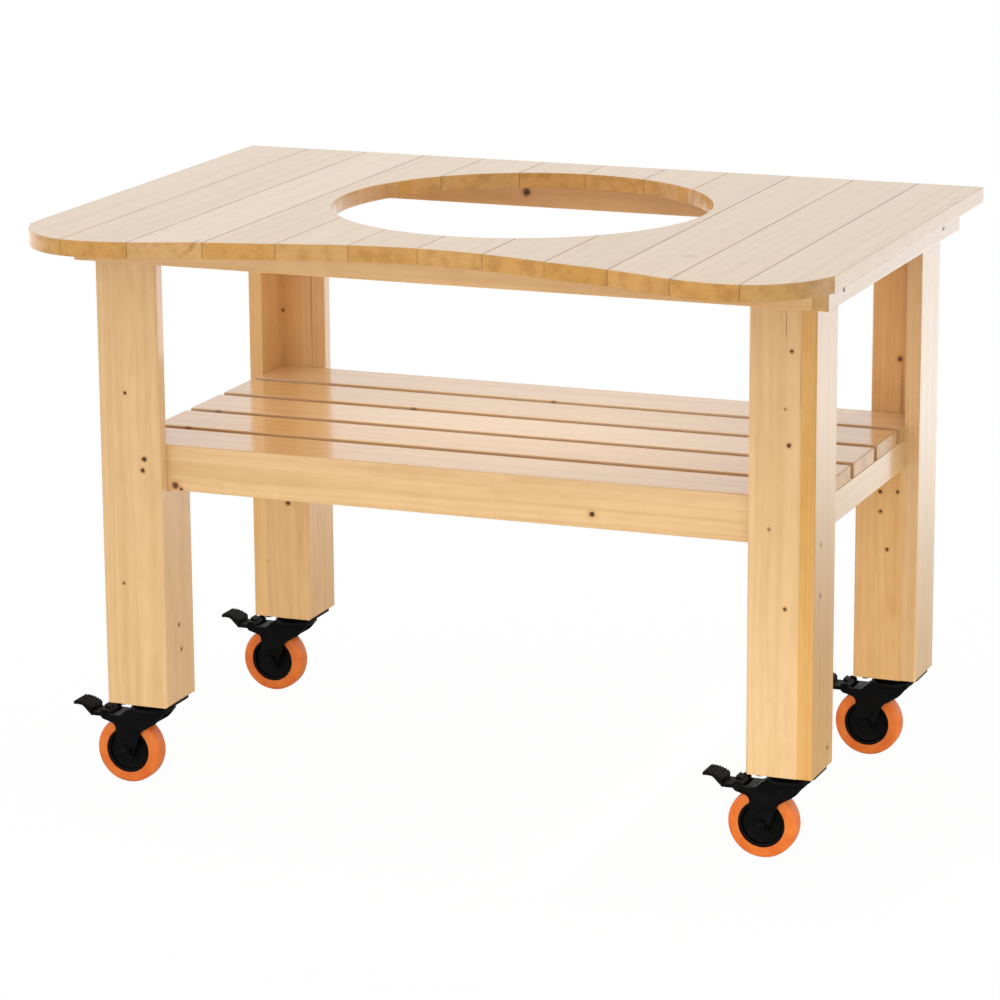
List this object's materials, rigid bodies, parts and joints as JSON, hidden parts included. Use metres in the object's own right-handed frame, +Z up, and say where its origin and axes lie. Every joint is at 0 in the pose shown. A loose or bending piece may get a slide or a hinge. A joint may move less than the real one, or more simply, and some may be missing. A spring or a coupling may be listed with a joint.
{
  "type": "kamado grill table",
  "caption": "Wheeled timber table with a large round cut-out for a kamado grill, a wavy front edge, a slatted lower shelf and braked swivel casters.",
  "frame": {"origin": "centre of the bounding box in plan, at the floor under the wheels", "axes": "+X runs along the table from the viewer's left to the viewer's right, +Y from the wavy front edge to the straight back edge, +Z up out of the worktop"},
  "size_m": [1.1962, 0.8372, 0.852],
  "materials": {
    "worktop_wood": "clear lacquered softwood, pale, glossy",
    "apron_wood": "clear lacquered softwood",
    "leg_wood": "clear lacquered softwood with knots",
    "shelf_wood": "clear lacquered softwood, glossy",
    "black_steel": "black coated pressed steel",
    "black_plastic": "satin moulded plastic",
    "orange_tread": "satin polyurethane"
  },
  "bodies": {
    "table": {"worktop_board_01": "worktop_wood", "worktop_board_02": "worktop_wood", "worktop_board_03": "worktop_wood", "worktop_board_04": "worktop_wood", "worktop_board_05": "worktop_wood", "worktop_board_05_back": "worktop_wood", "worktop_board_06": "worktop_wood", "worktop_board_06_back": "worktop_wood", "worktop_board_07": "worktop_wood", "worktop_board_07_back": "worktop_wood", "worktop_board_08": "worktop_wood", "worktop_board_08_back": "worktop_wood", "worktop_board_09": "worktop_wood", "worktop_board_10": "worktop_wood", "worktop_board_11": "worktop_wood", "worktop_board_12": "worktop_wood", "apron_front": "apron_wood", "apron_back": "apron_wood", "apron_left": "apron_wood", "apron_right": "apron_wood", "leg_post_front_left": "leg_wood", "leg_post_front_right": "leg_wood", "leg_post_back_left": "leg_wood", "leg_post_back_right": "leg_wood", "leg_side_board_front_left": "leg_wood", "leg_side_board_front_right": "leg_wood", "leg_side_board_back_left": "leg_wood", "leg_side_board_back_right": "leg_wood", "shelf_slat_1": "shelf_wood", "shelf_slat_2": "shelf_wood", "shelf_slat_3": "shelf_wood", "shelf_slat_4": "shelf_wood", "shelf_slat_5": "shelf_wood", "shelf_rail_front": "shelf_wood", "shelf_rail_back": "shelf_wood", "shelf_rail_left": "shelf_wood", "shelf_rail_right": "shelf_wood", "shelf_middle_bearer": "shelf_wood", "caster_plate_front_left": "black_steel", "caster_plate_front_right": "black_steel", "caster_plate_back_left": "black_steel", "caster_plate_back_right": "black_steel"},
    "fork_front_left": {"caster_fork_front_left": "black_steel"},
    "wheel_front_left": {"caster_hub_front_left": "black_plastic", "caster_tread_front_left": "orange_tread"},
    "pedal_front_left": {"brake_pedal_front_left": "black_plastic"},
    "fork_front_right": {"caster_fork_front_right": "black_steel"},
    "wheel_front_right": {"caster_hub_front_right": "black_plastic", "caster_tread_front_right": "orange_tread"},
    "pedal_front_right": {"brake_pedal_front_right": "black_plastic"},
    "fork_back_left": {"caster_fork_back_left": "black_steel"},
    "wheel_back_left": {"caster_hub_back_left": "black_plastic", "caster_tread_back_left": "orange_tread"},
    "pedal_back_left": {"brake_pedal_back_left": "black_plastic"},
    "fork_back_right": {"caster_fork_back_right": "black_steel"},
    "wheel_back_right": {"caster_hub_back_right": "black_plastic", "caster_tread_back_right": "orange_tread"},
    "pedal_back_right": {"brake_pedal_back_right": "black_plastic"}
  },
  "joints": [
    {"name": "swivel_front_left", "type": "hinge", "parent": "table", "child": "fork_front_left", "pos_m": [-0.47813, -0.17689, 0.1], "axis": [0, 0, 1], "continuous": true},
    {"name": "roll_front_left", "type": "hinge", "parent": "fork_front_left", "child": "wheel_front_left", "pos_m": [-0.51313, -0.17689, 0.05], "axis": [0, 1, 0], "continuous": true},
    {"name": "brake_front_left", "type": "hinge", "parent": "fork_front_left", "child": "pedal_front_left", "pos_m": [-0.54612, -0.17689, 0.104], "axis": [0, -1, 0], "range_deg": [0, 16]},
    {"name": "swivel_front_right", "type": "hinge", "parent": "table", "child": "fork_front_right", "pos_m": [0.49888, -0.17689, 0.1], "axis": [0, 0, 1], "continuous": true},
    {"name": "roll_front_right", "type": "hinge", "parent": "fork_front_right", "child": "wheel_front_right", "pos_m": [0.46387, -0.17689, 0.05], "axis": [0, 1, 0], "continuous": true},
    {"name": "brake_front_right", "type": "hinge", "parent": "fork_front_right", "child": "pedal_front_right", "pos_m": [0.43088, -0.17689, 0.104], "axis": [0, -1, 0], "range_deg": [0, 16]},
    {"name": "swivel_back_left", "type": "hinge", "parent": "table", "child": "fork_back_left", "pos_m": [-0.47813, 0.33011, 0.1], "axis": [0, 0, 1], "continuous": true},
    {"name": "roll_back_left", "type": "hinge", "parent": "fork_back_left", "child": "wheel_back_left", "pos_m": [-0.51313, 0.33011, 0.05], "axis": [0, 1, 0], "continuous": true},
    {"name": "brake_back_left", "type": "hinge", "parent": "fork_back_left", "child": "pedal_back_left", "pos_m": [-0.54612, 0.33011, 0.104], "axis": [0, -1, 0], "range_deg": [0, 16]},
    {"name": "swivel_back_right", "type": "hinge", "parent": "table", "child": "fork_back_right", "pos_m": [0.49888, 0.33011, 0.1], "axis": [0, 0, 1], "continuous": true},
    {"name": "roll_back_right", "type": "hinge", "parent": "fork_back_right", "child": "wheel_back_right", "pos_m": [0.46387, 0.33011, 0.05], "axis": [0, 1, 0], "continuous": true},
    {"name": "brake_back_right", "type": "hinge", "parent": "fork_back_right", "child": "pedal_back_right", "pos_m": [0.43088, 0.33011, 0.104], "axis": [0, -1, 0], "range_deg": [0, 16]}
  ]
}
